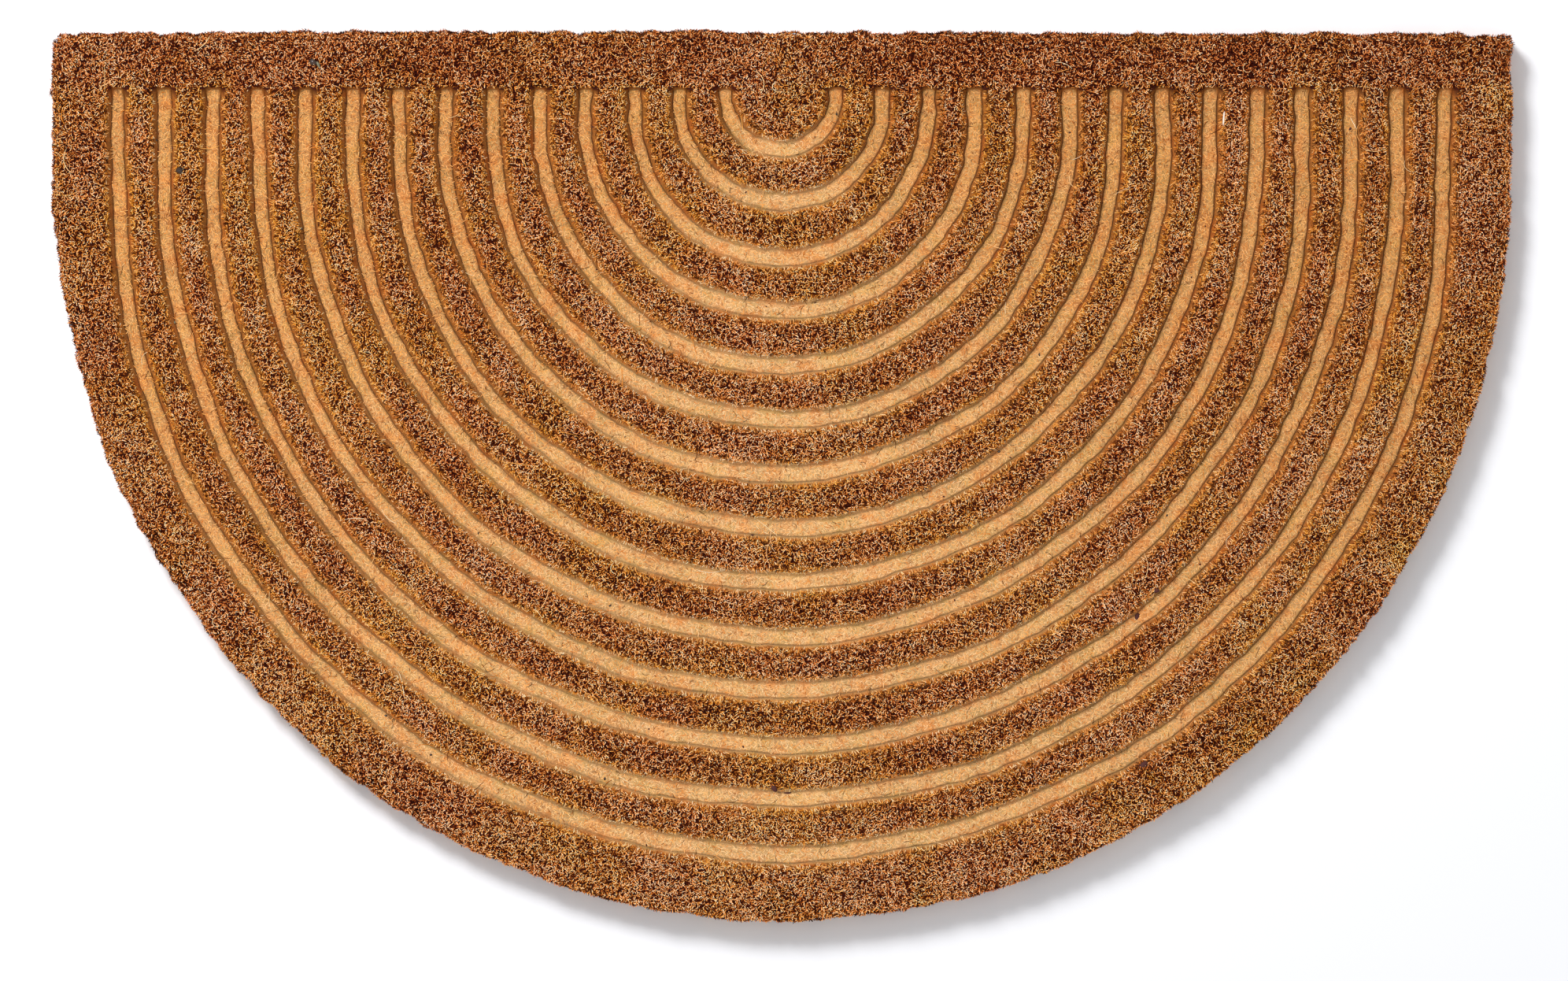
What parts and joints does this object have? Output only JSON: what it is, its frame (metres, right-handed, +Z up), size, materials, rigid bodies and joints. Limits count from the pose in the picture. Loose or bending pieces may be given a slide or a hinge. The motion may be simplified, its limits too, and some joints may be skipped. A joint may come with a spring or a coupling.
{
  "type": "half-round coir doormat",
  "caption": "Flat half-round coir doormat with short straight sides and U-shaped bands pressed into its pile, one inside the other.",
  "frame": {"origin": "centre of the underside's bounding box, on the floor", "axes": "+X along the straight edge, +Y towards the straight edge that lies against the threshold, +Z up out of the pile"},
  "size_m": [0.7518, 0.4584, 0.016],
  "materials": {
    "coir_pile": "dense upright coconut fibre, matt, with pale bands where it is pressed flat"
  },
  "bodies": {
    "root": {"coir_mat": "coir_pile"}
  },
  "joints": []
}
